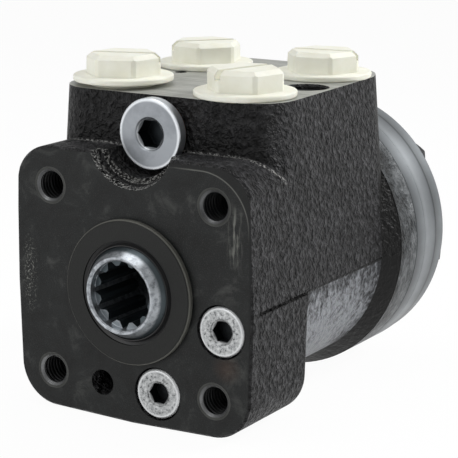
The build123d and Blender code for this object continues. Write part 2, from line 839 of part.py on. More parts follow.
def gear_ring():
    opening = Circle(valley_radius)
    for angle in lobe_angles:
        opening = opening - Pos(*polar(lobe_circle, angle)) * Circle(lobe_radius)
    cuts = screw_holes(ring_y - 1, cover_y + 1) + [prism(opening, ring_y - 1, cover_y + 1)]
    return stack_disc(ring_y, cover_y, rim_radius, plate_joint, cover_joint) - cuts


def end_cover():
    rear_edge = (cover_chamfer, cover_chamfer)
    disc = stack_disc(cover_y, rear_y, rim_radius - cover_step, cover_joint, rear_edge)
    return disc - screw_holes(cover_y - 1, rear_y + 1) - seal_groove(cover_y, 1)


def hex_head():
    head = prism(hexagon(screw_head_width), washer_back, washer_back + screw_head_height)
    corner = screw_head_width / sqrt(3)
    back = washer_back + screw_head_height
    dome = turned([
        (washer_back - 1, 0), (washer_back - 1, corner + 1), (back - 0.9, corner + 0.05),
        (back, screw_head_width / 2 - 0.3), (back, 0),
    ])
    return head & dome


def cover_screw(with_pin):
    tip = housing_length - screw_grip
    screw = hex_head() + rod(screw_radius, tip, washer_back + 1)
    if with_pin:
        screw = screw + rod(pin_tip_radius, tip - pin_tip_length, tip + 1)
    return screw


def placed_screws(numbers, with_pin):
    screw = cover_screw(with_pin)
    placed = []
    for k in numbers:
        x, z = polar(screw_circle, lobe_angles[k])
        placed.append(Pos(x, 0, z) * Rot(0, screw_turn, 0) * screw)
    return placed


def washers():
    return Compound(children=[
        tube(washer_radius, screw_radius + 0.15, rear_y, washer_back, *polar(screw_circle, angle))
        for angle in lobe_angles
    ])


# valves in the housing
def socket_plug(front, collar_radius, collar, thread_radius, thread, hex_width, hex_depth, edge):
    """hexagon socket plug, its collar's face at front"""
    body = turned([
        (front, 0), (front, collar_radius - edge), (front + edge, collar_radius),
        (front + collar, collar_radius), (front + collar, thread_radius),
        (front + collar + thread - 0.8, thread_radius), (front + collar + thread, thread_radius - 0.8),
        (front + collar + thread, 0),
    ])
    mouth_radius = hex_width / sqrt(3) + 0.5
    mouth = turned([
        (front - 0.5, 0), (front - 0.5, mouth_radius + 0.6),
        (front + 1.0, mouth_radius - 0.9), (front + 1.0, 0),
    ])
    socket = prism(hexagon(hex_width), front - 1, front + hex_depth)
    return body - mouth - socket


def relief_plug():
    front = relief_spotface_y - relief_washer - relief_collar
    plug = socket_plug(front, relief_collar_radius, relief_collar, relief_thread_radius - seat_clearance,
                       relief_thread_length, relief_hex, relief_hex_depth, relief_mouth)
    end = front + relief_collar + relief_thread_length
    recess = rod(relief_spring_radius + relief_wire + 0.3, end - relief_spring_recess, end + 1)
    return Pos(0, 0, relief_z) * (plug - recess)


def relief_plug_seal():
    return tube(relief_collar_radius - 0.4, relief_thread_radius + 0.1,
                relief_spotface_y - relief_washer, relief_spotface_y, 0, relief_z)


def relief_spring():
    thread_end, poppet, cone, seat, end = relief_stations()
    start = thread_end - relief_washer - relief_spring_recess
    return spring(start, poppet, relief_spring_radius, relief_wire, relief_turns, 0, relief_z)


def relief_poppet():
    thread_end, poppet, cone, seat, end = relief_stations()
    guide = relief_chamber_radius - 0.1
    return turned([
        (poppet, 0), (poppet, guide), (cone, guide), (cone, relief_cone_front),
        (cone + relief_cone, relief_cone_back), (cone + relief_cone, 0),
    ], 0, relief_z)


def relief_seat():
    thread_end, poppet, cone, seat, end = relief_stations()
    slope = (relief_cone_front - relief_cone_back) / relief_cone
    mouth = relief_cone_front - slope * (seat - cone) + 0.15
    deep = seat + (mouth - relief_seat_bore) / slope
    outer = relief_chamber_radius - seat_clearance
    return turned([
        (seat, mouth), (seat, outer), (end, outer), (end, relief_seat_bore), (deep, relief_seat_bore),
    ], 0, relief_z)


def shock_plug(x, z):
    plug = socket_plug(0.1, shock_head_radius, shock_head - 0.1, shock_thread_radius, shock_thread_length,
                       shock_hex, shock_hex_depth, 0.5)
    end = shock_head + shock_thread_length
    recess = rod(shock_spring_radius + shock_wire + 0.3, end - shock_spring_recess, end + 1)
    return Pos(x, 0, z) * (plug - recess)


def shock_spring(x, z):
    thread_end, ball, seat, end = shock_stations()
    touch = ball - sqrt((shock_ball_radius + shock_wire) ** 2 - shock_spring_radius ** 2) + shock_wire
    return spring(thread_end - shock_spring_recess, touch, shock_spring_radius, shock_wire, shock_turns, x, z)


def shock_ball(x, z):
    thread_end, ball, seat, end = shock_stations()
    return Pos(x, ball, z) * Sphere(shock_ball_radius)


def shock_seat(x, z):
    """bush that guides the ball and carries its seat"""
    thread_end, ball, seat, end = shock_stations()
    front = thread_end + 1.5
    return turned([
        (front, shock_chamber_radius), (front, shock_seat_radius), (end, shock_seat_radius),
        (end, shock_bore_radius), (seat, shock_bore_radius), (seat, shock_chamber_radius),
    ], x, z)


def check_ball():
    x, z = valve_place(check_angle)
    y = ball_seat_y(check_seat_y, check_ball_radius, check_seat_radius)
    return Pos(x, y, z) * Sphere(check_ball_radius)


def check_bush():
    x, z = valve_place(check_angle)
    start = housing_length - check_bush_length - check_bush_sink
    bush = tube(check_bush_radius, check_bush_bore, start, start + check_bush_length)
    socket = prism(hexagon(check_bush_hex), start + check_bush_hex_start, housing_length + 1)
    return Pos(x, 0, z) * (bush - socket)


def suction_ball(angle):
    x, z = valve_place(angle)
    y = ball_seat_y(suction_seat_y, suction_ball_radius, suction_seat_radius)
    return Pos(x, y, z) * Sphere(suction_ball_radius)


def suction_pins():
    end = housing_length - suction_pin_sink
    start = end - suction_pin_length
    return Compound(children=[
        rod(suction_pin_radius, start, end, *valve_place(angle)) for angle in suction_angles
    ])


# port plugs
def port_plug(x, y, lift, turn):
    seat = block_top + lift
    flange = Pos(0, 0, plug_flange_thickness / 2) * Cylinder(plug_flange_radius, plug_flange_thickness)
    flange = fillet(flange.edges().filter_by(GeomType.CIRCLE), 0.6)
    stem_radius = port_thread_radius - plug_stem_gap
    stem = Pos(0, 0, -plug_stem_length / 2) * Cylinder(stem_radius, plug_stem_length)
    high = plug_flange_thickness + plug_head_height
    head = extrude(hexagon(plug_head_width), amount=high)
    head = chamfer(head.faces().sort_by(Axis.Z)[-1].edges(), plug_head_chamfer)
    head = head & (Pos(0, 0, high / 2) * Cylinder(plug_corner_radius, high))
    slot = Pos(0, 0, high) * Box(3 * plug_head_width, plug_slot_width, 2 * plug_slot_depth)
    plug = flange + stem + head - slot
    return Pos(x, y, seat) * Rot(0, 0, turn) * plug


def build_parts():
    outer_race, cage, needles, inner_race = bearing_pieces()
    screws = placed_screws([k for k in range(lobe_count) if k != 1], False)
    parts = {
        "housing": housing(),
        "dust_seal": dust_seal(),
        "shaft_seal": shaft_seal(),
        "seal_energiser_ring": o_ring(shaft_seal_radius - seal_energiser, seal_energiser,
                                      shaft_seal_start + shaft_seal_width / 2),
        "bearing_outer_race": outer_race,
        "bearing_cage": cage,
        "bearing_needles": needles,
        "bearing_inner_race": inner_race,
        "spool": spool(),
        "sleeve": sleeve(),
        "spring_ring": spring_ring(),
        "cross_pin": cross_pin(),
        "flat_centring_springs": flat_springs(),
        "curved_centring_springs": curved_springs(),
        "cardan_shaft": cardan_shaft(),
        "plate_o_ring": o_ring(seal_groove_radius, seal_section, housing_length - seal_section),
        "distributor_plate": distributor_plate(),
        "gear_ring": gear_ring(),
        "rotor": rotor(),
        "rotor_spacer": rotor_spacer(),
        "cover_o_ring": o_ring(seal_groove_radius, seal_section, cover_y + seal_section),
        "end_cover": end_cover(),
        "cover_screws": Compound(children=screws),
        "pin_screw": placed_screws([1], True)[0],
        "screw_washers": washers(),
        "relief_plug": relief_plug(),
        "relief_plug_seal": relief_plug_seal(),
        "relief_spring": relief_spring(),
        "relief_poppet": relief_poppet(),
        "relief_seat": relief_seat(),
        "check_ball": check_ball(),
        "check_bush": check_bush(),
        "suction_ball_right": suction_ball(suction_angles[0]),
        "suction_ball_left": suction_ball(suction_angles[1]),
        "suction_pins": suction_pins(),
        "port_plug_front_left": port_plug(-port_x, port_first_y, loose_plug_lift, 20),
        "port_plug_front_right": port_plug(port_x, port_first_y, 0, 75),
        "port_plug_rear_left": port_plug(-port_x, port_second_y, 0, 50),
        "port_plug_rear_right": port_plug(port_x, port_second_y, 0, 10),
    }
    for side, (x, z) in shock_places.items():
        parts["shock_plug_" + side] = shock_plug(x, z)
        parts["shock_spring_" + side] = shock_spring(x, z)
        parts["shock_ball_" + side] = shock_ball(x, z)
        parts["shock_seat_" + side] = shock_seat(x, z)
    return parts


os.makedirs("parts", exist_ok=True)
for name, shape in build_parts().items():
    export_step(shape, "parts/" + name + ".step")
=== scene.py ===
import bpy
import math
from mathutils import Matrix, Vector


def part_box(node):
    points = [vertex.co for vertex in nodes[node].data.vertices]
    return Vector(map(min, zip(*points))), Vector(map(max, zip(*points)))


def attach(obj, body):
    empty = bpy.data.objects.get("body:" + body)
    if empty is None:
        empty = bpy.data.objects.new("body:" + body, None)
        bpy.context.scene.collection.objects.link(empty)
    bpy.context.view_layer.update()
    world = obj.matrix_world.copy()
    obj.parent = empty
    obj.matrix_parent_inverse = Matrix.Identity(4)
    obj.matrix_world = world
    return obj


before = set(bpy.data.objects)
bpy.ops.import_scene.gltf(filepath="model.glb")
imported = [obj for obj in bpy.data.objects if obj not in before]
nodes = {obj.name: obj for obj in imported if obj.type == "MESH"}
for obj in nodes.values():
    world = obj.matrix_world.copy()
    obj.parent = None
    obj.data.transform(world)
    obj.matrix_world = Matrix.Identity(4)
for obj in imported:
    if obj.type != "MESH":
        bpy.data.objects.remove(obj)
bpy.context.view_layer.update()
mm = 0.001
print("frame loaded,", len(nodes), "nodes")


# small helpers
def linear(code):
    # sRGB hex to linear colour
    values = [int(code[i:i + 2], 16) / 255 for i in (1, 3, 5)]
    return tuple(v / 12.92 if v <= 0.04045 else ((v + 0.055) / 1.055) ** 2.4 for v in values) + (1.0,)


def addNode(tree, kind, inputs=(), stops=(), **settings):
    # inputs go by name in a dictionary, or in the order of the node's sockets; each is a value, a socket,
    # or a whole node, whose first output in use is then linked. Stops are a ramp's positions and colours
    node = tree.nodes.new("ShaderNode" + kind)
    for key, value in settings.items():
        setattr(node, key, value)
    named = inputs if isinstance(inputs, dict) else dict(enumerate(inputs))
    for key, value in named.items():
        if isinstance(key, str):
            socket = next(entry for entry in node.inputs if entry.enabled and entry.name == key)
        else:
            socket = node.inputs[key]
        if isinstance(value, bpy.types.Node):
            value = next(output for output in value.outputs if output.enabled)
        if isinstance(value, bpy.types.NodeSocket):
            tree.links.new(value, socket)
        else:
            socket.default_value = value
    if stops:
        while len(node.color_ramp.elements) < len(stops):
            node.color_ramp.elements.new(0.5)
        for element, (position, code) in zip(node.color_ramp.elements, stops):
            element.position = position
            element.color = linear(code)
    return node


def newMaterial(name):
    # an empty material and its place on the piece, in mm
    material = bpy.data.materials.new(name)
    material.use_nodes = True
    tree = material.node_tree
    tree.nodes.clear()
    coordinates = addNode(tree, "TexCoord").outputs["Object"]
    place = addNode(tree, "VectorMath", {"Vector": coordinates, "Scale": 1 / mm}, operation="SCALE")
    return material, tree, place


def finishShader(tree, inputs):
    shader = addNode(tree, "BsdfPrincipled", inputs)
    addNode(tree, "OutputMaterial", {"Surface": shader})


def dress(material, *names):
    for name in names:
        mesh = nodes[name].data
        mesh.materials.clear()
        mesh.materials.append(material)


def onlySelect(piece):
    bpy.ops.object.select_all(action="DESELECT")
    piece.select_set(True)
    bpy.context.view_layer.objects.active = piece


def applyAll(piece):
    onlySelect(piece)
    for modifier in list(piece.modifiers):
        bpy.ops.object.modifier_apply(modifier=modifier.name)
    bpy.ops.object.transform_apply(location=True, rotation=True, scale=True)


def mergeAndTurnOut(piece, holeSides=0):
    # weld the seams, close the ends and point all faces outwards
    onlySelect(piece)
    bpy.ops.object.mode_set(mode="EDIT")
    bpy.ops.mesh.select_all(action="SELECT")
    bpy.ops.mesh.remove_doubles(threshold=0.001 * mm)
    if holeSides:
        bpy.ops.mesh.fill_holes(sides=holeSides)
    bpy.ops.mesh.normals_make_consistent(inside=False)
    bpy.ops.object.mode_set(mode="OBJECT")


# cast housing: sand-cast iron, black paint, machined column face and port face
castLook = {                         # lengths in mm
    # colour ramps
    "paint": ((0.36, "#1b1b1c"), (0.52, "#323234"), (0.7, "#535355")),  # hollows, even coat, worn high spots
    "barrel": ((0.34, "#2f3033"), (0.54, "#93969b")),  # smoother lower half, with a painted reflection of the pale floor
    "rim": ((0.36, "#141515"), (0.5, "#404345"), (0.66, "#76797b")),  # pits, then greys standing for a painted reflection of the pale floor on the black-painted rim
    "face": ((0.36, "#0d0e0e"), (0.56, "#171919"), (0.84, "#4d4e4c")),  # column face, painted thinly
    "top": ((0.3, "#83847f"), (0.6, "#b4b5b0")),  # milled port face
    # single colours
    "black": "#0e0e0e",              # painted shade: the cone's step face before the rim, and the groove of the witness line
    "paintedShade": "#080808",             # painted shade in the corners: under the port block and in the hollow
    "speck": "#c2c2bf",              # chips of paint and painted glints along the rough edges
    "edgeShade": "#0d0e0e",             # painted shade on the rounded edge outside the column face's machined field
    "dust": "#4d4e4c",
    # painted highlight along the border of the machined field
    "borderHighlight": "#6a6b67",
    "rust": "#4b3527",
    "bareIron": "#747570",           # in the scuffs and the pitted patch
    "pilot": "#1a1b1a",
    "pilotEdge": "#585853",
    "sink": "#4a4b49",               # countersinks of the column holes
    # noises: size, detail, roughness, distortion
    "lump": (1.75, 2.0, 0.6, 0.3),   # sand texture
    "grit": (0.35, 2.0, 0.6, 0.0),   # sand grain, drawn coarser than it is so that it shows
    "fleck": (0.75, 2.0, 0.7, 0.0),  # chips of paint
    "cloud": (9.091, 4.0, 0.6, 0.0),  # uneven spray
    "smear": (10.53, 6.0, 0.68, 0.6),  # hand marks on the column face
    "scratch": (1.111, 3.0, 0.5, 0.0),
    "milling": (0.9, 3.0, 0.5, 0.0),  # streaks across the port face
    # fades: from and to on the pattern or the length, then the first and last strength
    "spray": (0.35, 0.7, 0.75, 1.15),
    # painted reflection of the floor on the barrel: how it fades in height, towards the cone and underneath
    "floorReflection": ((-18.0, -3.0, 0.05, -0.09), (66.0, 84.0, 0.0, -0.12), (-36.0, -26.0, -0.1, 0.0)),
    # the rim's painted reflection grows paler towards the rear
    "paintedLight": (90.0, 102.0, -0.02, 0.12),
    "chipAndGlint": (0.5, 0.56),
    "pit": (0.55, 0.62),
    "scuffed": (0.48, 0.62),
    "dusty": (0.55, 0.7, 0.0, 0.32),
    "castRough": (0.3, 0.75, 0.55, 0.4),
    "faceRough": (0.3, 0.75, 0.5, 0.36),
    # places and sizes
    "cutter": 0.7,                   # spacing of the cutter marks
    "cutterCentre": (31.0, 0.0, 46.0),
    "faceDepth": 0.04,               # the column face ends this far behind the origin
    "pilotFront": -0.5,
    "pilotRadius": 21.85,            # inside the pilot's bright edge
    "topHeight": 57.05,              # the port face starts here
    "barrelStart": 36.5,             # behind the flange
    "coneStart": 84.3,
    "rimStart": 90.3,
    "parting": (-1.9, 0.75, 85.0),   # witness line of the mould: height, half width, rear end
    "hole": (29.19, 5.0, 5.75),      # column holes: place, radius, radius of the countersink
    "scoop": (46.0, 15.0, 4.5, 12.0),  # hollow round the relief plug: height, radius, floor, rear end
    "ledge": (29.3, 28.25, 13.0, 55.2, 30.0),  # flange corner: centre x and z, radius, y + z, lower end
    "border": (24.5, 23.0, 16.3),    # machined field of the column face: its corner's centre, radius
    "borderEnds": (20.0, 30.0, 13.0, 22.0),  # its line comes up from z to z and from x to x
    "stain": ((33.5, 0.0, -18.5), 1.0, 5.2, 0.55),  # rust by the right-hand plug: centre, radii, share
    "scuff": (36.2, 3.0, 21.0, 10.0),  # tool scuffs: x, half width, z, half height
    "pitted": ((-37.5, 0.0, 1.0), 0.22, 0.8, 3.2),  # worn patch: centre, squash in height, radii
    # shares of the patterns in each mottle
    "barrelMottle": {"cloud": 0.4, "lump": 0.6},
    "rimMottle": {"cloud": 0.6, "lump": 0.3},
    "topMottle": {"cloud": 0.25, "milling": 0.75},
    # strengths
    "frontWallShade": 0.34,              # painted shade: the front wall of the block is darker than the sides
    "inHollow": 0.7,                 # how dark the painted shade in the hollow round the relief plug is
    # how dark the painted shade under the port block is
    "underBlock": 0.75,
    "bareMetal": 0.45,               # a film of oil and paint keeps both from full metal
    "rimMetal": 0.3,
    # relief: depth of the whole bump, then shares of it
    "relief": 7.0,
    "gritHeight": 0.05,
    "edgeHeight": 0.25,              # crumbs along the rough edges
    "flatterBarrel": 0.3,            # what is left of the sand texture there
    "flatterRim": 0.22,
    "flatterWall": 0.85,             # how far the front wall goes the barrel's way
    "sinkHeight": 0.09,
    "faceGritHeight": 0.016,
    "cutterHeight": 0.0006,
}


def castHousing(look):
    # sand-cast iron, sprayed black: lumpy like orange peel, grey on its high spots, bare where machined
    material, tree, place = newMaterial("paintedSandCasting")
    x, y, z = addNode(tree, "SeparateXYZ", (place,)).outputs
    # patterns; the sand texture is drawn out along one diagonal, the scratches and the milling along one axis
    drawnOut = {"Vector": place, "Rotation": (0.6, 0.2, 0.0), "Scale": (1.0, 1.0, 1.15)}
    diagonal = addNode(tree, "Mapping", drawnOut, vector_type="TEXTURE")
    upright = addNode(tree, "VectorMath", (place, (1.0, 1.0, 0.16)), operation="MULTIPLY")
    across = addNode(tree, "VectorMath", (place, (0.06, 1.0, 1.0)), operation="MULTIPLY")
    noise = {}
    for name in ("lump", "grit", "fleck", "cloud", "smear", "scratch", "milling"):
        size, detail, roughness, distortion = look[name]
        vector = {"lump": diagonal, "scratch": upright, "milling": across}.get(name, place)
        noise[name] = addNode(tree, "TexNoise", {"Vector": vector, "Scale": 1 / size, "Detail": detail,
                                                 "Roughness": roughness, "Distortion": distortion})
    mottle = {}
    for name in ("barrelMottle", "rimMottle", "topMottle"):
        (first, firstShare), (second, secondShare) = look[name].items()
        base = addNode(tree, "Math", (noise[first], firstShare), operation="MULTIPLY")
        mottle[name] = addNode(tree, "Math", (noise[second], secondShare, base), operation="MULTIPLY_ADD")
    # regions of the casting, each 1 inside and 0 outside
    face = addNode(tree, "Math", (y, look["faceDepth"]), operation="LESS_THAN")
    pilot = addNode(tree, "Math", (y, look["pilotFront"]), operation="LESS_THAN")
    top = addNode(tree, "Math", (z, look["topHeight"]), operation="GREATER_THAN")
    nearFront = addNode(tree, "Math", (y, 1.0), operation="LESS_THAN")
    partingHeight, partingHalf, partingEnd = look["parting"]
    low = addNode(tree, "Math", (z, partingHeight), operation="LESS_THAN")
    behind = addNode(tree, "Math", (y, look["barrelStart"]), operation="GREATER_THAN")
    barrel = addNode(tree, "Math", (low, behind), operation="MULTIPLY")
    rim = addNode(tree, "MapRange", (y, look["rimStart"], look["rimStart"] + 0.4))
    notRim = addNode(tree, "Math", (1.0, rim), operation="SUBTRACT")
    behind = addNode(tree, "Math", (y, look["coneStart"]), operation="GREATER_THAN")
    cone = addNode(tree, "Math", (behind, notRim), operation="MULTIPLY")
    away = addNode(tree, "Math", (z, partingHeight), operation="SUBTRACT")
    away = addNode(tree, "Math", (away,), operation="ABSOLUTE")
    witness = addNode(tree, "MapRange", (away, partingHalf * 0.6, partingHalf, 1.0, 0.0))
    before = addNode(tree, "Math", (y, partingEnd), operation="LESS_THAN")
    witness = addNode(tree, "Math", (witness, before), operation="MULTIPLY")
    normal = addNode(tree, "NewGeometry").outputs["True Normal"]
    forward = addNode(tree, "VectorMath", (normal, (0.0, -1.0, 0.0)), operation="DOT_PRODUCT")
    frontWall = addNode(tree, "MapRange", (forward, 0.3, 0.9))
    flat = addNode(tree, "VectorMath", (place, (1.0, 0.0, 1.0)), operation="MULTIPLY")
    corner = addNode(tree, "VectorMath", (flat,), operation="ABSOLUTE")
    holePlace, holeRadius, sinkRadius = look["hole"]
    holeAway = addNode(tree, "VectorMath", (corner, (holePlace, 0.0, holePlace)), operation="DISTANCE")
    sink = addNode(tree, "Math", (holeAway, sinkRadius), operation="LESS_THAN")
    sink = addNode(tree, "Math", (sink, nearFront), operation="MULTIPLY")
    bare = addNode(tree, "Math", (sink, top), operation="MAXIMUM")
    machined = addNode(tree, "Math", (face, bare), operation="MAXIMUM")
    # painted skin
    skin = addNode(tree, "ValToRGB", (noise["lump"],), look["paint"])
    spray = addNode(tree, "MapRange", (noise["cloud"], *look["spray"]))
    # painted shade on faces turned to the front
    frontShade = addNode(tree, "Mix", {"Factor": frontWall, "A": 1.0, "B": look["frontWallShade"]}, data_type="FLOAT")
    spray = addNode(tree, "Math", (spray, frontShade), operation="MULTIPLY")
    colour = addNode(tree, "VectorMath", {"Vector": skin, "Scale": spray}, operation="SCALE")
    # painted reflection of the pale floor: the barrel is palest along its flank, darker by the witness line, the
    # cone and underneath
    tone = mottle["barrelMottle"]
    for along, fade in zip((z, y, z), look["floorReflection"]):
        floorReflection = addNode(tree, "MapRange", (along, *fade))
        tone = addNode(tree, "Math", (tone, floorReflection), operation="ADD")
    tone = addNode(tree, "ValToRGB", (tone,), look["barrel"])
    colour = addNode(tree, "Mix", {"Factor": barrel, "A": colour, "B": tone}, data_type="RGBA")
    # painted shade, near black, on the cone before the rim and along the witness line's groove
    black = linear(look["black"])
    for share in (cone, witness):
        colour = addNode(tree, "Mix", {"Factor": share, "A": colour, "B": black}, data_type="RGBA")
    # rim: grey as a painted reflection of the pale floor, paler towards the rear
    paintedLight = addNode(tree, "MapRange", (y, *look["paintedLight"]))
    tone = addNode(tree, "Math", (mottle["rimMottle"], paintedLight), operation="ADD")
    tone = addNode(tree, "ValToRGB", (tone,), look["rim"])
    colour = addNode(tree, "Mix", {"Factor": rim, "A": colour, "B": tone}, data_type="RGBA")
    # distance round a rounded corner: of the flange, both sides folded together, and of the face's border
    folded = addNode(tree, "CombineXYZ", {"X": addNode(tree, "Math", (x,), operation="ABSOLUTE"), "Z": z})
    ledgeX, ledgeZ, ledgeRadius, ledgeMeet, ledgeLow = look["ledge"]
    borderX, borderZ, borderRadius = look["border"]
    outlines = []
    for source, centre in ((folded, (ledgeX, 0.0, ledgeZ)), (flat, (borderX, 0.0, borderZ))):
        outside = addNode(tree, "VectorMath", (source, centre), operation="SUBTRACT")
        outside = addNode(tree, "VectorMath", (outside, (0.0, 0.0, 0.0)), operation="MAXIMUM")
        outlines.append(addNode(tree, "VectorMath", (outside,), operation="LENGTH"))
    outline, border = outlines
    # how near a point is to each line drawn on the casting: distance, place of the line, soft edge, strength
    scoopHeight, scoopRadius, scoopFloor, scoopEnd = look["scoop"]
    scoopAway = addNode(tree, "VectorMath", (flat, (0.0, 0.0, scoopHeight)), operation="DISTANCE")
    meet = addNode(tree, "Math", (y, z), operation="ADD")
    scuffX, scuffWidth, scuffZ, scuffHeight = look["scuff"]
    near = {}
    for name, distance, line, start, end, strength in (
            ("scoopRim", scoopAway, scoopRadius - 0.1, 0.2, 0.7, 1.0),
            ("scoopFloor", y, scoopFloor, 0.2, 0.7, 1.0),
            ("ledge", outline, ledgeRadius, 0.2, 0.8, 1.0),
            ("meet", meet, ledgeMeet, 0.4, 1.3, 1.0),
            ("border", border, borderRadius, 0.1, 0.3, 0.75),
            ("scuffX", x, scuffX, 0.4, scuffWidth, 1.0),
            ("scuffZ", z, scuffZ, 4.0, scuffHeight, 0.8)):
        away = addNode(tree, "Math", (distance, line), operation="SUBTRACT")
        away = addNode(tree, "Math", (away,), operation="ABSOLUTE")
        near[name] = addNode(tree, "MapRange", (away, start, end, strength, 0.0))
    # chips of paint and painted glints along the rough edges: rim and floor of the hollow round the relief plug,
    # ledge over the flange
    inScoop = addNode(tree, "Math", (scoopAway, scoopRadius), operation="LESS_THAN")
    inFront = addNode(tree, "Math", (y, scoopFloor), operation="LESS_THAN")
    scoopRim = addNode(tree, "Math", (near["scoopRim"], inFront), operation="MULTIPLY")
    scoopFoot = addNode(tree, "Math", (near["scoopFloor"], inScoop), operation="MULTIPLY")
    ledgeTop = addNode(tree, "Math", (z, ledgeLow), operation="GREATER_THAN")
    ledge = addNode(tree, "Math", (near["ledge"], near["meet"]), operation="MULTIPLY")
    ledge = addNode(tree, "Math", (ledge, ledgeTop), operation="MULTIPLY")
    roughEdge = addNode(tree, "Math", (scoopRim, scoopFoot), operation="MAXIMUM")
    roughEdge = addNode(tree, "Math", (roughEdge, ledge), operation="MAXIMUM")
    chipsAndGlints = addNode(tree, "MapRange", (noise["fleck"], *look["chipAndGlint"]))
    chipsAndGlints = addNode(tree, "Math", (chipsAndGlints, roughEdge), operation="MULTIPLY")
    # painted shade, near black: on the front wall under the port block and inside the hollow
    paintedShade = addNode(tree, "MapRange", (meet, ledgeMeet + 1.6, ledgeMeet + 9.6, look["underBlock"], 0.0))
    paintedShade = addNode(tree, "Math", (paintedShade, frontWall), operation="MULTIPLY")
    behind = addNode(tree, "Math", (y, scoopEnd), operation="GREATER_THAN")
    paintedShade = addNode(tree, "Math", (paintedShade, behind), operation="MULTIPLY")
    before = addNode(tree, "Math", (y, scoopEnd), operation="LESS_THAN")
    inHollow = addNode(tree, "Math", (inScoop, before), operation="MULTIPLY")
    inHollow = addNode(tree, "Math", (inHollow, look["inHollow"]), operation="MULTIPLY")
    paintedShade = addNode(tree, "Math", (paintedShade, inHollow), operation="MAXIMUM")
    for share, code in ((paintedShade, look["paintedShade"]), (chipsAndGlints, look["speck"])):
        colour = addNode(tree, "Mix", {"Factor": share, "A": colour, "B": linear(code)}, data_type="RGBA")
    # column face: smears of wear and dust, rust, a painted highlight along the border and painted shade on the edge
    # beyond it, scuffs and a pitted patch
    stainCentre, stainInner, stainOuter, stainShare = look["stain"]
    away = addNode(tree, "VectorMath", (flat, stainCentre), operation="DISTANCE")
    stain = addNode(tree, "MapRange", (away, stainInner, stainOuter, stainShare, 0.0))
    stain = addNode(tree, "Math", (stain, noise["smear"]), operation="MULTIPLY")
    dust = addNode(tree, "MapRange", (noise["grit"], *look["dusty"]))
    lowEnd, highEnd, leftEnd, rightEnd = look["borderEnds"]
    fadeUp = addNode(tree, "MapRange", (z, lowEnd, highEnd))
    fadeAcross = addNode(tree, "MapRange", (x, leftEnd, rightEnd))
    line = addNode(tree, "Math", (near["border"], fadeUp), operation="MULTIPLY")
    line = addNode(tree, "Math", (line, fadeAcross), operation="MULTIPLY")
    # painted shade on the rounded edge beyond the border, right-hand side only
    edgeShade = addNode(tree, "MapRange", (border, borderRadius, borderRadius + 0.3, 0.0, 0.7))
    rightSide = addNode(tree, "Math", (x, leftEnd), operation="GREATER_THAN")
    edgeShade = addNode(tree, "Math", (edgeShade, rightSide), operation="MULTIPLY")
    scuffs = addNode(tree, "MapRange", (noise["scratch"], *look["scuffed"]))
    scuffs = addNode(tree, "Math", (scuffs, near["scuffX"]), operation="MULTIPLY")
    scuffs = addNode(tree, "Math", (scuffs, near["scuffZ"]), operation="MULTIPLY")
    patchCentre, squash, patchInner, patchOuter = look["pitted"]
    away = addNode(tree, "VectorMath", (flat, patchCentre), operation="SUBTRACT")
    away = addNode(tree, "VectorMath", (away, (1.0, 1.0, squash)), operation="MULTIPLY")
    away = addNode(tree, "VectorMath", (away,), operation="LENGTH")
    pitted = addNode(tree, "MapRange", (away, patchInner, patchOuter, 1.0, 0.0))
    pits = addNode(tree, "MapRange", (noise["fleck"], *look["pit"]))
    pitted = addNode(tree, "Math", (pitted, pits), operation="MULTIPLY")
    shaftAway = addNode(tree, "VectorMath", (flat,), operation="LENGTH")
    pilotEdge = addNode(tree, "Math", (shaftAway, look["pilotRadius"]), operation="GREATER_THAN")
    pilotEdge = addNode(tree, "Math", (pilotEdge, pilot), operation="MULTIPLY")
    faceColour = addNode(tree, "ValToRGB", (noise["smear"],), look["face"])
    for share, name in ((stain, "rust"), (dust, "dust"), (line, "borderHighlight"), (edgeShade, "edgeShade"),
                        (scuffs, "bareIron"), (pitted, "bareIron"), (pilot, "pilot"), (pilotEdge, "pilotEdge")):
        tone = linear(look[name])
        faceColour = addNode(tree, "Mix", {"Factor": share, "A": faceColour, "B": tone}, data_type="RGBA")
    # milled port face: fine lines across, with a few dull streaks along them
    milled = addNode(tree, "ValToRGB", (mottle["topMottle"],), look["top"])
    for share, tone in ((face, faceColour), (top, milled), (sink, linear(look["sink"]))):
        colour = addNode(tree, "Mix", {"Factor": share, "A": colour, "B": tone}, data_type="RGBA")
    # gloss: the machined faces, the rim and the barrel are smoother than the sand-cast paint
    smooth = addNode(tree, "Math", (rim, barrel), operation="MAXIMUM")
    smooth = addNode(tree, "Math", (machined, smooth), operation="MAXIMUM")
    castRough = addNode(tree, "MapRange", (noise["lump"], *look["castRough"]))
    faceRough = addNode(tree, "MapRange", (noise["smear"], *look["faceRough"]))
    rough = addNode(tree, "Mix", {"Factor": smooth, "A": castRough, "B": faceRough}, data_type="FLOAT")
    bareMetal = addNode(tree, "Math", (bare, look["bareMetal"]), operation="MULTIPLY")
    rimMetal = addNode(tree, "Math", (rim, look["rimMetal"]), operation="MULTIPLY")
    metal = addNode(tree, "Math", (bareMetal, rimMetal), operation="MAXIMUM")
    # relief of the casting: full on the sides, flatter on the barrel, the front wall, the rim and the cone
    castHeight = (noise["grit"], look["gritHeight"], noise["lump"])
    castHeight = addNode(tree, "Math", castHeight, operation="MULTIPLY_ADD")
    softWall = addNode(tree, "Math", (frontWall, look["flatterWall"]), operation="MULTIPLY")
    for first, second, name in ((barrel, softWall, "flatterBarrel"), (rim, cone, "flatterRim")):
        flatter = addNode(tree, "Math", (first, second), operation="MAXIMUM")
        flatter = addNode(tree, "Mix", {"Factor": flatter, "A": 1.0, "B": look[name]}, data_type="FLOAT")
        castHeight = addNode(tree, "Math", (castHeight, flatter), operation="MULTIPLY")
    edgeHeight = addNode(tree, "Math", (noise["fleck"], roughEdge), operation="MULTIPLY")
    castHeight = (edgeHeight, look["edgeHeight"], castHeight)
    castHeight = addNode(tree, "Math", castHeight, operation="MULTIPLY_ADD")
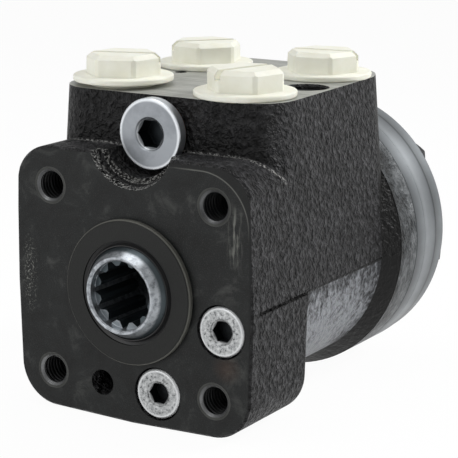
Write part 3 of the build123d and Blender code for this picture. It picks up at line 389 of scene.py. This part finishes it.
    # relief of the machined faces: cutter arcs, and countersinks that fall away at 45 degrees
    away = addNode(tree, "VectorMath", (flat, look["cutterCentre"]), operation="DISTANCE")
    arcs = addNode(tree, "Math", (away, 2 * math.pi / look["cutter"]), operation="MULTIPLY")
    arcs = addNode(tree, "Math", (arcs,), operation="SINE")
    fall = addNode(tree, "MapRange", (holeAway, holeRadius, sinkRadius, 0.0, look["sinkHeight"]))
    faceHeight = addNode(tree, "Math", (fall, nearFront), operation="MULTIPLY")
    for pattern, name in ((noise["grit"], "faceGritHeight"), (arcs, "cutterHeight")):
        faceHeight = addNode(tree, "Math", (pattern, look[name], faceHeight), operation="MULTIPLY_ADD")
    height = addNode(tree, "Mix", {"Factor": machined, "A": castHeight, "B": faceHeight}, data_type="FLOAT")
    bump = addNode(tree, "Bump", {"Height": height, "Strength": 1.0, "Distance": look["relief"] * mm})
    finishShader(tree, {"Base Color": colour, "Roughness": rough, "Metallic": metal, "Specular IOR Level": 0.22,
                        "Normal": bump})
    return material


# turned and ground metals: one recipe, told apart by settings. Lengths in mm
metalLooks = {
    # ground steel: bright with hairline rings from the stone
    "groundSteel": {"base": "#c9cccf", "dark": "#8f9295", "rough": 0.24, "ring": 0.3, "ringHeight": 0.3,
                    "grain": 0.25, "metallic": 1.0, "edge": 0.15,
                    "nodes": ("rotor", "rotor_spacer", "relief_poppet", "relief_seat", "cross_pin")},
    # hardened bearing steel: polished, dark reflections
    "bearingSteel": {"base": "#b4b7bb", "dark": "#85888c", "rough": 0.18, "ring": 0.2, "ringHeight": 0.1,
                     "grain": 0.2, "metallic": 1.0, "edge": 0.0,
                     "nodes": ("bearing_outer_race", "bearing_inner_race", "bearing_needles", "check_ball",
                               "suction_ball_right", "suction_ball_left", "shock_ball_lower", "shock_ball_right")},
    # plain turned steel: grey with tool rings
    "turnedSteel": {"base": "#9a9c9e", "dark": "#6a6c6e", "rough": 0.33, "ring": 0.35, "ringHeight": 0.5,
                    "grain": 0.3, "metallic": 1.0, "edge": 0.0,
                    "nodes": ("sleeve", "cardan_shaft", "bearing_cage", "spring_ring", "check_bush", "suction_pins",
                              "shock_seat_lower", "shock_seat_right")},
    # blue-grey spring steel: smooth drawn surface
    "springSteel": {"base": "#6d7277", "dark": "#44484c", "rough": 0.28, "ring": 0.8, "ringHeight": 0.1,
                    "grain": 0.4, "metallic": 1.0, "edge": 0.0,
                    "nodes": ("flat_centring_springs", "curved_centring_springs", "relief_spring",
                              "shock_spring_lower", "shock_spring_right")},
    # zinc plate over turned steel: pale cool grey, bright at its edges
    "zincPlatedSteel": {"base": "#969a9f", "dark": "#6c7075", "rough": 0.36, "ring": 0.3, "ringHeight": 0.2,
                        "grain": 0.35, "metallic": 0.9, "edge": 0.35, "nodes": ("screw_washers",)},
    # the same plate on the relief plug, with a painted highlight on its rim and its socket's mouth, and painted
    # shade in the socket
    "zincPlatedPlugSteel": {"base": "#969a9f", "dark": "#6c7075", "rough": 0.36, "ring": 0.3, "ringHeight": 0.2,
                            "grain": 0.35, "metallic": 0.9, "edge": 0.35, "nodes": ("relief_plug",),
                            "socket": {"reach": 4.8, "rim": "#dadee2", "shade": "#25292c"}},
    # black oxide screws: oily dark grey
    "blackOxideSteel": {"base": "#3a3b3d", "dark": "#1f2021", "rough": 0.38, "ring": 0.6, "ringHeight": 0.2,
                        "grain": 0.4, "metallic": 0.9, "edge": 0.3, "nodes": ("cover_screws", "pin_screw")},
    # annealed copper: dull pink-brown
    "annealedCopper": {"base": "#a96b4b", "dark": "#7c4a33", "rough": 0.38, "ring": 0.5, "ringHeight": 0.2,
                       "grain": 0.4, "metallic": 1.0, "edge": 0.0, "nodes": ("relief_plug_seal",)},
    # bronze-filled sealing plastic: brown-grey, waxy
    "filledSealPlastic": {"base": "#5a4a3c", "dark": "#3d3229", "rough": 0.5, "ring": 0.5, "ringHeight": 0.1,
                          "grain": 0.3, "metallic": 0.0, "edge": 0.0, "nodes": ("shaft_seal",)},
    # thread cut in black-painted iron: dark, with a glint on the crests
    "cutThreadSteel": {"base": "#3c3d3e", "dark": "#1e1f20", "rough": 0.4, "ring": 0.4, "ringHeight": 0.3,
                       "grain": 0.3, "metallic": 0.6, "edge": 0.0, "nodes": ()},
    # countersink worn clean by the screws: mid grey
    "countersunkSteel": {"base": "#7b7c7d", "dark": "#48494a", "rough": 0.34, "ring": 0.4, "ringHeight": 0.3,
                         "grain": 0.3, "metallic": 0.7, "edge": 0.0, "nodes": ()},
}
metalPatch = 16.67                   # size of the duller patches, mm
socketShade = (0.4, 1.2)             # in a plug's socket the shade starts and is full this deep, mm
plugRim = (1.2, 0.7)                 # a plug's painted highlight on its rim starts and is full this far from its edge, mm
noiseSpan = (0.3, 0.7)               # nearly all of a noise lies between these


def shadeSocket(tree, place, colour, node, look):
    # a plug's colour with a painted highlight on its rounded rim and the mouth of its hexagon, and painted shade in
    # the socket
    low, high = [corner / mm for corner in map(Vector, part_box(node))]
    centre = (low + high) / 2
    radius = (high.x - low.x) / 2
    away = addNode(tree, "VectorMath", (place, centre), operation="SUBTRACT")
    away = addNode(tree, "VectorMath", (away, (1.0, 0.0, 1.0)), operation="MULTIPLY")
    away = addNode(tree, "VectorMath", (away,), operation="LENGTH")
    y = addNode(tree, "SeparateXYZ", (place,)).outputs["Y"]
    near = addNode(tree, "Math", (away, look["reach"]), operation="LESS_THAN")
    deep = addNode(tree, "MapRange", (y, *[low.y + depth for depth in socketShade]))
    inside = addNode(tree, "Math", (near, deep), operation="MULTIPLY")
    mouth = addNode(tree, "Math", (near, inside), operation="SUBTRACT")
    paintedHighlight = addNode(tree, "MapRange", (away, *[radius - width for width in plugRim]))
    paintedHighlight = addNode(tree, "Math", (paintedHighlight, mouth), operation="MAXIMUM")
    for share, code in ((paintedHighlight, look["rim"]), (inside, look["shade"])):
        colour = addNode(tree, "Mix", {"Factor": share, "A": colour, "B": linear(code)}, data_type="RGBA")
    return colour


def turnedMetal(name, look):
    material, tree, place = newMaterial(name)
    y = addNode(tree, "SeparateXYZ", (place,)).outputs["Y"]
    squeezed = addNode(tree, "Mapping", {"Vector": place, "Scale": (1.0, 7.0, 1.0)})
    patch = addNode(tree, "TexNoise", {"Vector": squeezed, "Scale": 1 / metalPatch, "Detail": 5.0,
                                       "Roughness": 0.62})
    fine = addNode(tree, "TexNoise", {"Vector": place, "Scale": 1 / look["grain"], "Detail": 2.0})
    colour = addNode(tree, "ValToRGB", (patch,), ((0.32, look["dark"]), (0.62, look["base"])))
    if "socket" in look:
        colour = shadeSocket(tree, place, colour, look["nodes"][0], look["socket"])
    rough = addNode(tree, "MapRange", (patch, *noiseSpan, look["rough"] + 0.1, look["rough"] - 0.05))
    rings = addNode(tree, "Math", (y, 2 * math.pi / look["ring"]), operation="MULTIPLY")
    rings = addNode(tree, "Math", (rings,), operation="SINE")
    height = addNode(tree, "Math", (rings, look["ringHeight"], fine), operation="MULTIPLY_ADD")
    relief = {"Height": height, "Strength": 0.35, "Distance": 0.08 * mm}
    if look["edge"]:
        relief["Normal"] = addNode(tree, "Bevel", {"Radius": look["edge"] * mm}, samples=4)
    bump = addNode(tree, "Bump", relief)
    finishShader(tree, {"Base Color": colour, "Roughness": rough, "Metallic": look["metallic"], "Normal": bump})
    dress(material, *look["nodes"])
    return material


metals = {name: turnedMetal(name, look) for name, look in metalLooks.items()}

# spool: hardened and ground steel, bright on the nose cone, with painted shade in the bore, darker also outside the
# seal track, and a painted highlight on the tooth ends on one side
spoolLook = {
    # dark tone: painted shade in the bore, also used outside the seal track; pale tone: painted highlight on the
    # tooth ends
    "dull": "#777b80", "bright": "#b3b8bd", "paintedBoreTone": "#4b5357", "paintedLight": "#8a9094",
    "bore": 10.4, "sealTrack": 12.8,     # radius inside and outside which it is dark, mm
    "toothEnds": -3.4,                   # their place along the shaft, mm
    "litSide": (-0.42, 0.0, -0.9), "litSpan": (4.5, 8.5),  # way to the teeth with the painted highlight, and how far out, mm
    "scuff": 1.923,                      # size of the scuffs, mm
    "rough": (0.4, 0.27),
}


def spoolSteel(look):
    material, tree, place = newMaterial("hardenedGroundSteel")
    y = addNode(tree, "SeparateXYZ", (place,)).outputs["Y"]
    flat = addNode(tree, "VectorMath", (place, (1.0, 0.0, 1.0)), operation="MULTIPLY")
    away = addNode(tree, "VectorMath", (flat,), operation="LENGTH")
    bore = addNode(tree, "MapRange", (away, look["bore"], look["bore"] + 0.2, 1.0, 0.0))
    rubbed = addNode(tree, "MapRange", (away, look["sealTrack"], look["sealTrack"] + 0.5))
    dark = addNode(tree, "Math", (bore, rubbed), operation="MAXIMUM")
    scuffs = addNode(tree, "TexNoise", {"Vector": place, "Scale": 1 / look["scuff"], "Detail": 4.0,
                                        "Roughness": 0.65})
    bright = addNode(tree, "ValToRGB", (scuffs,), ((0.34, look["dull"]), (0.56, look["bright"])))
    # painted highlight: the tooth ends on one side of the bore are paler, as if lit
    side = addNode(tree, "VectorMath", (flat, look["litSide"]), operation="DOT_PRODUCT")
    paintedLight = addNode(tree, "MapRange", (side, *look["litSpan"]))
    ends = addNode(tree, "Math", (y, look["toothEnds"]), operation="LESS_THAN")
    paintedLight = addNode(tree, "Math", (paintedLight, ends), operation="MULTIPLY")
    paintedBoreTone = addNode(tree, "Mix", {"Factor": paintedLight, "A": linear(look["paintedBoreTone"]), "B": linear(look["paintedLight"])},
                   data_type="RGBA")
    colour = addNode(tree, "Mix", {"Factor": dark, "A": bright, "B": paintedBoreTone}, data_type="RGBA")
    rough = addNode(tree, "MapRange", (scuffs, *noiseSpan, *look["rough"]))
    soft = addNode(tree, "Bevel", {"Radius": 0.3 * mm}, samples=4)
    bump = addNode(tree, "Bump", {"Height": scuffs, "Normal": soft, "Strength": 0.3, "Distance": 0.08 * mm})
    finishShader(tree, {"Base Color": colour, "Roughness": rough, "Metallic": 0.8, "Normal": bump})
    return material


# rear stack: turned steel plates under a thin clear coat, satin grey, with a painted sheen along the wide ring's
# middle
stackLook = {
    "start": 102.0, "end": 123.5,        # the bands run from the rear face of the housing to the cover, mm
    "bandsWithSheen": ((0.0, "#4a4d4f"), (0.1, "#5f6366"), (0.36, "#84888b"), (0.62, "#64686b"), (0.69, "#1a1b1c"),
              (0.73, "#5d6163"), (0.9, "#74787b")),
    "rubbed": 18.18, "grain": 0.4545,    # sizes of the handling marks and of the grain, mm
    "uneven": (0.86, 1.26), "rough": (0.46, 0.34),
}


def stackSteel(look):
    material, tree, place = newMaterial("coatedTurnedSteel")
    y = addNode(tree, "SeparateXYZ", (place,)).outputs["Y"]
    rubbed = addNode(tree, "TexNoise", {"Vector": place, "Scale": 1 / look["rubbed"], "Detail": 4.0,
                                        "Roughness": 0.55})
    fine = addNode(tree, "TexNoise", {"Vector": place, "Scale": 1 / look["grain"], "Detail": 2.0})
    along = addNode(tree, "MapRange", (y, look["start"], look["end"]))
    # painted sheen: the wide ring is palest in its middle and darker towards its edges
    bandAndSheen = addNode(tree, "ValToRGB", (along,), look["bandsWithSheen"])
    uneven = addNode(tree, "MapRange", (rubbed, *noiseSpan, *look["uneven"]))
    colour = addNode(tree, "VectorMath", {"Vector": bandAndSheen, "Scale": uneven}, operation="SCALE")
    rough = addNode(tree, "MapRange", (rubbed, *noiseSpan, *look["rough"]))
    soft = addNode(tree, "Bevel", {"Radius": 0.3 * mm}, samples=4)
    bump = addNode(tree, "Bump", {"Height": fine, "Normal": soft, "Strength": 0.3, "Distance": 0.06 * mm})
    finishShader(tree, {"Base Color": colour, "Roughness": rough, "Metallic": 0.55, "Normal": bump})
    return material


# valve plugs: phosphated steel, pale grey crystals with black specks between them
plugLook = {
    "tones": ((0.32, "#37393b"), (0.45, "#9b9d9e"), (0.7, "#cccece")),
    "crystal": 0.5882, "speck": 1.111,   # mm
    # the socket's colours: a painted highlight on the rim and mouth, painted shade inside
    "socket": {"reach": 3.6, "rim": "#d2d4d5", "shade": "#1b1e20"},
}


def granularSteel(name, node, look):
    material, tree, place = newMaterial(name)
    crystals = addNode(tree, "TexVoronoi", {"Vector": place, "Scale": 1 / look["crystal"], "Randomness": 1.0})
    specks = addNode(tree, "TexNoise", {"Vector": place, "Scale": 1 / look["speck"], "Detail": 3.0,
                                        "Roughness": 0.7})
    colour = addNode(tree, "ValToRGB", (specks,), look["tones"])
    colour = shadeSocket(tree, place, colour, node, look["socket"])
    soft = addNode(tree, "Bevel", {"Radius": 0.3 * mm}, samples=4)
    bump = addNode(tree, "Bump", {"Height": crystals, "Normal": soft, "Strength": 0.5, "Distance": 0.1 * mm})
    finishShader(tree, {"Base Color": colour, "Metallic": 0.75, "Roughness": 0.42, "Normal": bump})
    return material


# port plugs: moulded polyethylene, waxy ivory with a soft sheen, the light sinks in a little
plasticLook = {
    "tones": ((0.3, "#ecebdc"), (0.65, "#f3f3e7")),
    "haze": 6.25, "edge": 0.4,           # mm
    "sink": (1.2, 1.0, 0.7),             # how far red, green and blue sink in, mm
}


def mouldedPlastic(look):
    material, tree, place = newMaterial("ivoryPolyethylene")
    haze = addNode(tree, "TexNoise", {"Vector": place, "Scale": 1 / look["haze"], "Detail": 3.0,
                                      "Roughness": 0.55})
    colour = addNode(tree, "ValToRGB", (haze,), look["tones"])
    soft = addNode(tree, "Bevel", {"Radius": look["edge"] * mm}, samples=4)
    bump = addNode(tree, "Bump", {"Height": haze, "Normal": soft, "Strength": 0.12, "Distance": 0.3 * mm})
    finishShader(tree, {"Base Color": colour, "Roughness": 0.42, "IOR": 1.5, "Subsurface Weight": 0.12,
                        "Subsurface Radius": [reach * mm for reach in look["sink"]], "Subsurface Scale": 1.0,
                        "Normal": bump})
    return material


# seals: moulded nitrile rubber, near black, dull, with a faint dusty bloom
rubberLook = {"tones": ((0.0, "#0e0e0f"), (1.0, "#232324")), "dust": 2.381}


def blackRubber(look):
    material, tree, place = newMaterial("nitrileRubber")
    dust = addNode(tree, "TexNoise", {"Vector": place, "Scale": 1 / look["dust"], "Detail": 4.0,
                                      "Roughness": 0.6})
    colour = addNode(tree, "ValToRGB", (dust,), look["tones"])
    bump = addNode(tree, "Bump", {"Height": dust, "Strength": 0.2, "Distance": 0.1 * mm})
    finishShader(tree, {"Base Color": colour, "Roughness": 0.5, "Normal": bump})
    return material


dress(castHousing(castLook), "housing")
dress(stackSteel(stackLook), "distributor_plate", "gear_ring", "end_cover")
dress(spoolSteel(spoolLook), "spool")
dress(granularSteel("phosphatedSteelLower", "shock_plug_lower", plugLook), "shock_plug_lower")
dress(granularSteel("phosphatedSteelRight", "shock_plug_right", plugLook), "shock_plug_right")
dress(mouldedPlastic(plasticLook), "port_plug_front_left", "port_plug_front_right", "port_plug_rear_left",
      "port_plug_rear_right")
dress(blackRubber(rubberLook), "dust_seal", "seal_energiser_ring", "plate_o_ring", "cover_o_ring")
print("materials done")

# cut threads: a helical ridge in each tapped hole. Lengths in mm
columnThread = {"radius": 4.97, "crest": 4.2, "pitch": 1.5, "turns": 9, "start": 0.75, "spread": 29.19}
sensingThread = {"radius": 6.55, "crest": 5.75, "pitch": 1.337, "turns": 7, "start": 0.6,
                 "x": 29.3, "y": 53.2, "top": 57.1}
ridgeShare = 0.47                    # half of the ridge's foot, as a share of the pitch
ridgeSteps = 40


def threadRidge(name, size):
    # a triangular section with its tip to the hole's axis, run round that axis
    foot = 2 * ridgeShare * size["pitch"]
    height = size["radius"] - size["crest"]
    bpy.ops.object.select_all(action="DESELECT")
    bpy.ops.mesh.primitive_circle_add(vertices=3, radius=mm, rotation=(0, math.radians(-90), math.radians(90)))
    ridge = bpy.context.object
    ridge.name = name
    ridge.scale = (foot / math.sqrt(3), height / 1.5, 1)
    ridge.location = ((size["radius"] - height / 3) * mm, 0, 0)
    applyAll(ridge)
    screw = ridge.modifiers.new("turns", "SCREW")
    screw.axis = "Z"
    screw.screw_offset = size["pitch"] * mm
    screw.iterations = size["turns"]
    screw.steps = ridgeSteps
    screw.render_steps = ridgeSteps
    screw.use_merge_vertices = True
    screw.merge_threshold = 0.001 * mm
    applyAll(ridge)
    mergeAndTurnOut(ridge, holeSides=4)
    return ridge


def fitToHousing(piece, material):
    piece.data.materials.clear()
    piece.data.materials.append(material)
    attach(piece, "housing_set")


def placeThread(ridge, name, turn, spot):
    piece = ridge.copy()
    piece.data = ridge.data.copy()
    piece.name = name
    bpy.context.collection.objects.link(piece)
    piece.rotation_euler = turn
    piece.location = Vector(spot) * mm
    applyAll(piece)
    fitToHousing(piece, metals["cutThreadSteel"])


ridge = threadRidge("threadPattern", columnThread)
spread = columnThread["spread"]
columnHoles = ((-spread, spread), (spread, spread), (-spread, -spread), (spread, -spread))
start = columnThread["start"] + columnThread["pitch"] / 2
for count, (x, z) in enumerate(columnHoles):
    placeThread(ridge, "columnThread" + str(count + 1), (math.radians(-90), 0.7 * count, 0), (x, start, z))
bpy.data.objects.remove(ridge)
print("column threads cut")

# countersinks: a short cone of thin wall that leads into each column thread. Lengths in mm
countersink = {"outer": 4.99, "inner": 4.25, "depth": 0.8, "front": 0.05, "wall": 0.06, "sides": 64}


def countersinkRing(name, size, x, z):
    bpy.ops.object.select_all(action="DESELECT")
    bpy.ops.mesh.primitive_cone_add(
        vertices=size["sides"], radius1=size["outer"] * mm, radius2=size["inner"] * mm,
        depth=size["depth"] * mm, end_fill_type="NOTHING", rotation=(math.radians(-90), 0, 0),
        location=(x * mm, (size["depth"] / 2 + size["front"]) * mm, z * mm))
    ring = bpy.context.object
    ring.name = name
    wall = ring.modifiers.new("wall", "SOLIDIFY")
    wall.thickness = size["wall"] * mm
    wall.offset = 0
    applyAll(ring)
    mergeAndTurnOut(ring)
    fitToHousing(ring, metals["countersunkSteel"])


for count, (x, z) in enumerate(columnHoles):
    countersinkRing("columnCountersink" + str(count + 1), countersink, x, z)
print("countersinks cut")

# the tapped sensing port in the port face
ridge = threadRidge("threadPattern", sensingThread)
depth = sensingThread["start"] + sensingThread["pitch"] * (sensingThread["turns"] + 0.5)
placeThread(ridge, "sensingPortThread", (0, 0, 0),
            (sensingThread["x"], sensingThread["y"], sensingThread["top"] - depth))
bpy.data.objects.remove(ridge)
print("sensing port thread cut")

# stage: matt seamless paper, white to the camera, that touches the flange and the rear rim
stageLook = {"paper": "#fbfbfa", "size": 6.0, "white": 0.96, "height": -0.04127,
             "flange": 41.25, "rim": 45.06, "between": 116.0}    # what it touches: heights and distance, mm
bpy.ops.object.select_all(action="DESELECT")
slope = math.atan2(stageLook["rim"] - stageLook["flange"], stageLook["between"])
bpy.ops.mesh.primitive_plane_add(size=stageLook["size"], location=(0, 0, stageLook["height"]),
                                 rotation=(-slope, 0, 0))
floor = bpy.context.object
floor.name = "paleFloor"
floorMaterial = bpy.data.materials.new("palePaper")
floorMaterial.use_nodes = True
tree = floorMaterial.node_tree
tree.nodes.clear()
paper = addNode(tree, "BsdfDiffuse", {"Color": linear(stageLook["paper"])})
glow = addNode(tree, "Emission", {"Color": (1, 1, 1, 1), "Strength": 1.0})
rays = addNode(tree, "LightPath").outputs
seen = addNode(tree, "Math", (rays["Is Camera Ray"], rays["Is Glossy Ray"]), operation="MAXIMUM")
seen = addNode(tree, "Math", (seen, rays["Is Transmission Ray"]), operation="MAXIMUM")
share = addNode(tree, "Math", (seen, stageLook["white"]), operation="MULTIPLY")
mixed = addNode(tree, "MixShader", (share, paper, glow))
addNode(tree, "OutputMaterial", {"Surface": mixed})
floor.data.materials.append(floorMaterial)

# light: a white room, dimmer to the surfaces than to the camera, and three soft lamps
roomLook = {"onSurfaces": 0.27, "inReflections": 0.4}
world = bpy.data.worlds.new("studio")
bpy.context.scene.world = world
world.use_nodes = True
tree = world.node_tree
tree.nodes.clear()
rays = addNode(tree, "LightPath").outputs
seen = addNode(tree, "Math", (rays["Is Camera Ray"], rays["Is Transmission Ray"]), operation="MAXIMUM")
mirrored = addNode(tree, "Math", (rays["Is Glossy Ray"], roomLook["inReflections"]), operation="MULTIPLY")
seen = addNode(tree, "Math", (seen, mirrored), operation="MAXIMUM")
strength = addNode(tree, "MapRange", {"Value": seen, "To Min": roomLook["onSurfaces"], "To Max": 1.0})
sky = addNode(tree, "Background", {"Color": (1, 1, 1, 1), "Strength": strength})
addNode(tree, "OutputWorld", {"Surface": sky})

lampLook = {
    "keyRear": {"spot": (0.5, 0.55, 0.5), "size": 0.25, "power": 4.9},
    "topSoft": {"spot": (-0.1, 0.0, 0.9), "size": 0.6, "power": 3.0},
    "fillFront": {"spot": (-0.35, -0.8, 0.35), "size": 0.6, "power": 3.1},
}
lampAim = Vector((0, 0.05, 0))       # the middle of the unit
for name, lamp in lampLook.items():
    data = bpy.data.lights.new(name, "AREA")
    data.size = lamp["size"]
    data.energy = lamp["power"]
    lampObject = bpy.data.objects.new(name, data)
    bpy.context.collection.objects.link(lampObject)
    lampObject.location = lamp["spot"]
    lampObject.rotation_euler = (lampAim - Vector(lamp["spot"])).to_track_quat("-Z", "Y").to_euler()
print("stage lit")

# camera
view = {"spot": (0.300621, -0.435508, 0.141215), "turn": (77.0054, -0.2005, 31.4992),
        "lens": 144.18, "sensor": 36.0, "near": 0.01, "far": 20.0}
cameraData = bpy.data.cameras.new("view")
cameraData.lens = view["lens"]
cameraData.sensor_width = view["sensor"]
cameraData.clip_start = view["near"]
cameraData.clip_end = view["far"]
camera = bpy.data.objects.new("view", cameraData)
bpy.context.collection.objects.link(camera)
camera.location = view["spot"]
camera.rotation_euler = [math.radians(angle) for angle in view["turn"]]
bpy.context.scene.camera = camera
bpy.context.scene.view_settings.view_transform = "Standard"
